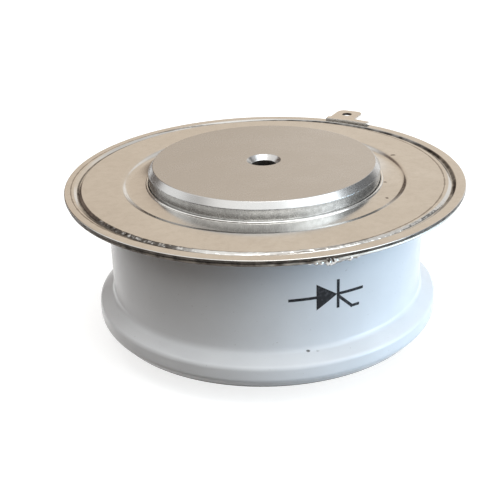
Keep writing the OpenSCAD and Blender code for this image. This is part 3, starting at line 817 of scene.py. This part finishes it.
def lumps(a0, a1, r, z):
    """Vertices and faces of an uneven bead along a circle, between two angles in degrees."""
    steps, sides = 90, 10
    verts, faces = [], []
    for i in range(steps + 1):
        t = i / steps
        a = math.radians(a0 + (a1 - a0) * t)
        size = math.sin(math.pi * t) ** 0.5 * (0.34 + 0.26 * noise.noise(Vector((t * 14, 0.4, 0)))) + 0.02
        size = max(0.02, size)
        for k in range(sides):
            b = TURN * k / sides
            rough = 1 + 0.35 * noise.noise(Vector((t * 40, math.cos(b), math.sin(b))))
            rr, zz = r + size * rough * math.cos(b), z + 1.25 * size * rough * math.sin(b)
            verts.append((rr * math.cos(a), rr * math.sin(a), zz))
    for i in range(steps):
        for k in range(sides):
            n = (k + 1) % sides
            faces.append((i * sides + k, (i + 1) * sides + k, (i + 1) * sides + n, i * sides + n))
    return verts, faces + [tuple(range(sides)), tuple(range(steps * sides, (steps + 1) * sides))[::-1]]


LUMPS_START, LUMPS_END = -81, -67
lump_mesh = lumps(LUMPS_START, LUMPS_END, LOWER_RIM_R - 0.32, CERAMIC_TOP - RIM_GAP + 0.02)
new_piece("weld_lumps", *lump_mesh, "flange_nickel", [WELD_METAL])


# Polarity mark: the circuit symbol of a thyristor, stamped on the glaze

MARK_ANGLE, MARK_Z, MARK_R = -71.0, 15.2, CERAMIC_R + 0.012
STROKE = 0.42


def stamp(strokes):
    """Thin patches of ink on the ring. A stroke is four corners (along the ring, up), in millimetres."""
    verts, faces = [], []
    for a, b, c, d in strokes:
        across, along = 4, max(2, math.ceil(max(math.dist(a, b), math.dist(d, c)) / 0.2))
        start = len(verts)
        for i in range(along + 1):
            for j in range(across + 1):
                u, v = i / along, j / across
                p = [(a[k] * (1 - u) + b[k] * u) * (1 - v) + (d[k] * (1 - u) + c[k] * u) * v for k in (0, 1)]
                t = math.radians(MARK_ANGLE) + p[0] / CERAMIC_R
                verts.append((MARK_R * math.cos(t), MARK_R * math.sin(t), MARK_Z + p[1]))
        for i in range(along):
            for j in range(across):
                k = start + i * (across + 1) + j
                faces.append((k, k + across + 1, k + across + 2, k + 1))
    return verts, faces


def line(x0, y0, x1, y1):
    """Stroke of ink from one point to another."""
    ray = Vector((x1 - x0, y1 - y0)).normalized() * (STROKE / 2)
    side = Vector((-ray.y, ray.x))
    a, b = Vector((x0, y0)) - ray, Vector((x1, y1)) + ray
    return [tuple(a - side), tuple(b - side), tuple(b + side), tuple(a + side)]


symbol = [
    line(-5.2, 0, -1.6, 0), line(1.5, 0, 5.2, 0), line(1.5, -1.9, 1.5, 1.9),
    line(1.6, -0.4, 3.6, -2.3), line(3.6, -2.3, 4.6, -2.3),
    [(-1.6, -1.9), (1.3, -0.05), (1.3, 0.05), (-1.6, 1.9)],
]
new_piece("polarity_mark", *stamp(symbol), None, [INK])


# Gate lead at the back

TUBE_EDGE_R, TUBE_FILLET_R, BLADE_EDGE_R = 0.12, 0.25, 0.12
QUARTER = (0, 0.5, 1.05, math.pi / 2)
ROUND, SQUARE = 2, 8
SQUEEZE_STEPS = 8

collar_y = CERAMIC_R
collar_end_y = collar_y + TUBE_COLLAR_T
tube_end = collar_end_y + TUBE_RUN
tube_rings = [(tube_end - 0.05, TUBE_BORE_R), (TUBE_START, TUBE_BORE_R), (TUBE_START, TUBE_R), (collar_y, TUBE_R)]
tube_rings += [(collar_y + TUBE_EDGE_R * (1 - math.cos(t)), TUBE_COLLAR_R - TUBE_EDGE_R * (1 - math.sin(t)))
               for t in QUARTER]
tube_rings += [(collar_end_y - TUBE_EDGE_R * (1 - math.sin(t)), TUBE_COLLAR_R - TUBE_EDGE_R * (1 - math.cos(t)))
               for t in QUARTER]
tube_rings += [(collar_end_y + TUBE_FILLET_R * (1 - math.sin(t)), TUBE_R + TUBE_FILLET_R * (1 - math.cos(t)))
               for t in QUARTER[::-1]]
stations = [(y, r, r, ROUND) for y, r in tube_rings]
for i in range(SQUEEZE_STEPS + 1):
    t = i / SQUEEZE_STEPS
    s = t * t * (3 - 2 * t)
    stations.append((tube_end + TUBE_SQUEEZE * t, TUBE_R + (BLADE_W / 2 - TUBE_R) * s,
                     TUBE_R + (BLADE_T / 2 - TUBE_R) * s, ROUND + (SQUARE - ROUND) * s))
for back, inset in ((BLADE_EDGE_R, 0), (0.04, 0.04), (0, BLADE_EDGE_R)):
    stations.append((BLADE_END - back, BLADE_W / 2 - inset, BLADE_T / 2 - inset, SQUARE))
new_piece("gate_tube_squeezed", *loft_mesh(stations), "terminal_nickel", [TAB_NICKEL], ["gate_tube"])


def tab_corners(a, b):
    """Outline of a tab along +X from a to b with a round-cornered end."""
    return [(a, -TAB_W / 2), (b, -TAB_W / 2, TAB_CORNER_R), (b, TAB_W / 2, TAB_CORNER_R), (a, TAB_W / 2)]


TAB_EDGE_R = 0.08
gate_outlines = [rounded(tab_corners(GATE_TAB_START, GATE_TAB_END)),
                 circle(GATE_TAB_END - TAB_HOLE_INSET, 0, TAB_HOLE_R)]
gate_tab_z = LEAD_Z + BLADE_T / 2 + TAB_T / 2
gate_place = Matrix.Translation((0, 0, gate_tab_z * MM)) @ Matrix.Rotation(TURN / 4, 4, "Z")
plate("gate_terminal_tab", gate_outlines, TAB_T, TAB_EDGE_R, gate_place, [TAB_NICKEL],
      ["gate_terminal"])

foot_in, foot_out = RIM_R - FOOT_W, RIM_R + FOOT_LIP
gate_end, far_end = math.degrees(FOOT_GATE_LEN / RIM_R), -math.degrees(FOOT_FAR_LEN / RIM_R)
tab_edge = math.degrees(math.asin(TAB_W / 2 / foot_out))
tab_end = RIM_R + TAB_REACH
inner = arc(0, 0, foot_in, far_end, gate_end, 1.5)
outer_gate = arc(0, 0, foot_out, gate_end, tab_edge, 0.5)
outer_far = arc(0, 0, foot_out, -tab_edge, far_end, 1.0)
foot_outline = inner + outer_gate + rounded([
    (foot_out, TAB_W / 2), (tab_end, TAB_W / 2, TAB_CORNER_R),
    (tab_end, -TAB_W / 2, TAB_CORNER_R), (foot_out, -TAB_W / 2),
])[1:-1] + outer_far
hole_x = tab_end - TAB_HOLE_INSET
cathode_outlines = [foot_outline, circle(hole_x, 0, TAB_HOLE_R)]
tab_turn = Matrix.Rotation(math.radians(TAB_ANGLE), 4, "Z")
tab_place = Matrix.Translation((0, 0, (RIM_TOP + TAB_T / 2) * MM)) @ tab_turn
cathode_tab = plate("cathode_terminal_tab", cathode_outlines, TAB_T, TAB_EDGE_R, tab_place,
                    [TAB_NICKEL, SHADED_CUT_EDGE], ["cathode_terminal"])
# The faces round the tab's hole get the dark edge material, as painted shade in the hole
tab_hole = tab_place @ Vector((hole_x * MM, 0, 0))
for face in cathode_tab.data.polygons:
    if (face.center - tab_hole).length < (TAB_HOLE_R + 0.12) * MM:
        face.material_index = 1


# Inner pieces keep their solids
for row in frame["record"]["subparts"]:
    if row["material_slot"] in INNER:
        mesh = nodes[row["node"]].data
        mesh.materials.clear()
        mesh.materials.append(INNER[row["material_slot"]])


# Studio

floor_mesh = bpy.data.meshes.new("floor")
floor_mesh.from_pydata([(-6, -6, 0), (6, -6, 0), (6, 6, 0), (-6, 6, 0)], [], [(0, 1, 2, 3)])
floor = in_scene("floor", floor_mesh)
floor_material = bpy.data.materials.new("floor_white")
floor_material.use_nodes = True
tree = floor_material.node_tree
tree.nodes.clear()
rays = add(tree, "ShaderNodeLightPath").outputs
mirrored = calc(tree, "MAXIMUM", rays["Is Glossy Ray"], rays["Is Transmission Ray"])
seen = calc(tree, "MAXIMUM", rays["Is Camera Ray"], mirrored)
glow = add(tree, "ShaderNodeEmission", {"Color": (1, 1, 1, 1), "Strength": 0.62})
white = add(tree, "ShaderNodeBsdfDiffuse", {"Color": (0.6, 0.6, 0.6, 1)})
both = add(tree, "ShaderNodeAddShader", {0: glow.outputs[0], 1: white.outputs[0]})
real = add(tree, "ShaderNodeBsdfDiffuse", {"Color": (0.07, 0.058, 0.05, 1)})
choice = add(tree, "ShaderNodeMixShader", {0: seen, 1: real.outputs[0], 2: both.outputs[0]})
add(tree, "ShaderNodeOutputMaterial", {"Surface": choice.outputs[0]})
floor_mesh.materials.append(floor_material)

# Room round the object, in three bands. A colour is (degrees from the back towards the right, colour).
SKIRTING = [
    (-180, (0.08, 0.062, 0.05)), (-70, (0.10, 0.075, 0.06)), (-1, (0.13, 0.095, 0.075)), (6, (1.05, 1.00, 0.94)),
    (40, (1.00, 0.98, 0.96)), (50, (0.20, 0.20, 0.20)), (94, (0.24, 0.25, 0.26)), (102, (2.20, 2.35, 2.50)),
    (120, (2.10, 2.25, 2.38)), (136, (1.10, 1.15, 1.18)), (150, (0.50, 0.51, 0.51)), (160, (0.15, 0.135, 0.12)),
    (180, (0.08, 0.062, 0.05)),
]
WALLS = [
    (-180, (0.12, 0.105, 0.09)), (-110, (0.11, 0.09, 0.078)), (-84, (1.25, 1.26, 1.25)), (-60, (1.35, 1.36, 1.35)),
    (-48, (0.25, 0.20, 0.17)), (-25, (0.20, 0.15, 0.12)), (-14, (0.80, 0.675, 0.55)), (-3, (0.86, 0.74, 0.61)),
    (12, (0.86, 0.745, 0.62)), (22, (0.86, 0.75, 0.635)), (28, (1.05, 1.02, 0.98)), (42, (1.00, 0.98, 0.96)),
    (50, (0.20, 0.20, 0.20)), (95, (0.24, 0.25, 0.26)), (101, (3.50, 3.75, 3.92)), (121, (3.40, 3.62, 3.75)),
    (142, (2.20, 2.30, 2.34)), (153, (1.45, 1.52, 1.54)), (166, (0.50, 0.50, 0.50)), (180, (0.12, 0.105, 0.09)),
]
CEILING = [
    (-180, (1.36, 1.38, 1.37)), (-150, (1.52, 1.53, 1.51)), (-122, (1.60, 1.59, 1.56)), (-98, (1.25, 1.23, 1.20)),
    (-60, (1.10, 1.08, 1.06)), (-20, (0.70, 0.67, 0.64)), (20, (0.70, 0.68, 0.66)), (60, (0.90, 0.89, 0.88)),
    (86, (0.60, 0.60, 0.60)), (97, (1.00, 1.08, 1.14)), (105, (2.60, 2.75, 2.88)), (128, (2.50, 2.62, 2.70)),
    (148, (1.95, 2.02, 2.03)), (164, (1.45, 1.48, 1.48)), (180, (1.36, 1.38, 1.37)),
]


def round_wall(tree, azimuth, colours):
    """Colour by direction round the horizon, from a list of (degrees, colour)."""
    wall = add(tree, "ShaderNodeValToRGB", {0: calc(tree, "ADD", calc(tree, "DIVIDE", azimuth, TURN), 0.5)})
    stops = wall.color_ramp.elements
    for degrees, colour in colours:
        place = degrees / 360 + 0.5
        stop = stops[0] if place == 0 else stops[len(stops) - 1] if place == 1 else stops.new(place)
        stop.color = (*colour, 1)
    return wall.outputs[0]


world = bpy.data.worlds.new("room")
bpy.context.scene.world = world
world.use_nodes = True
tree = world.node_tree
tree.nodes.clear()
direction = add(tree, "ShaderNodeTexCoord").outputs["Generated"]
x, y, z = add(tree, "ShaderNodeSeparateXYZ", {0: direction}).outputs
azimuth = calc(tree, "ARCTAN2", x, y)
skirting = round_wall(tree, azimuth, SKIRTING)
# The skirting reaches higher on the right
lift = ramp(tree, azimuth, math.radians(70), math.radians(92), 0.0, 0.08)
above_skirting = ramp(tree, calc(tree, "SUBTRACT", z, lift), 0.18, 0.27)
walls = mix(tree, above_skirting, skirting, round_wall(tree, azimuth, WALLS))
ceiling = mix(tree, ramp(tree, z, 0.86, 0.95), round_wall(tree, azimuth, CEILING), (1.20, 1.20, 1.19))
room = mix(tree, ramp(tree, z, 0.55, 0.68), walls, ceiling)
background = add(tree, "ShaderNodeBackground", {"Color": room, "Strength": 1.0})
add(tree, "ShaderNodeOutputWorld", {"Surface": background.outputs[0]})


def lamp(name, location, target, size, power, colour):
    """Rectangular soft lamp that points at a target, in metres and watts."""
    light = bpy.data.lights.new(name, "AREA")
    light.shape = "RECTANGLE"
    light.size, light.size_y = size
    light.energy = power
    light.color = colour
    obj = in_scene(name, light)
    obj.location = location
    obj.rotation_euler = (Vector(target) - Vector(location)).to_track_quat("-Z", "Y").to_euler()


lamp("key_right", (0.100, -0.040, 0.0105), (0, 0, 0.0105), (0.08, 0.018), 0.053, (0.44, 0.72, 1.0))
lamp("fill_front_top", (0.03, -0.16, 0.56), (0, 0, 0.012), (0.30, 0.16), 0.50, (1.0, 0.99, 0.97))


# Camera

elevation, roll, distance = math.radians(24.77), math.radians(-1.86), 152.66
target = Vector((-2.44, 0, 12.0))
forward = Vector((0, math.cos(elevation), -math.sin(elevation)))
side = Vector((1, 0, 0))
above = Vector((0, math.sin(elevation), math.cos(elevation)))
cam_x = math.cos(roll) * side + math.sin(roll) * above
cam_y = -math.sin(roll) * side + math.cos(roll) * above
camera = bpy.data.cameras.new("camera")
camera.sensor_fit = "HORIZONTAL"
camera.sensor_width = 36
camera.lens = 72
camera.clip_start, camera.clip_end = 0.01, 30
cam = in_scene("camera", camera)
pose = Matrix((cam_x, cam_y, -forward)).transposed().to_4x4()
pose.translation = (target - distance * forward) * MM
cam.matrix_world = pose
bpy.context.scene.camera = cam

bpy.context.scene.view_settings.view_transform = "Standard"
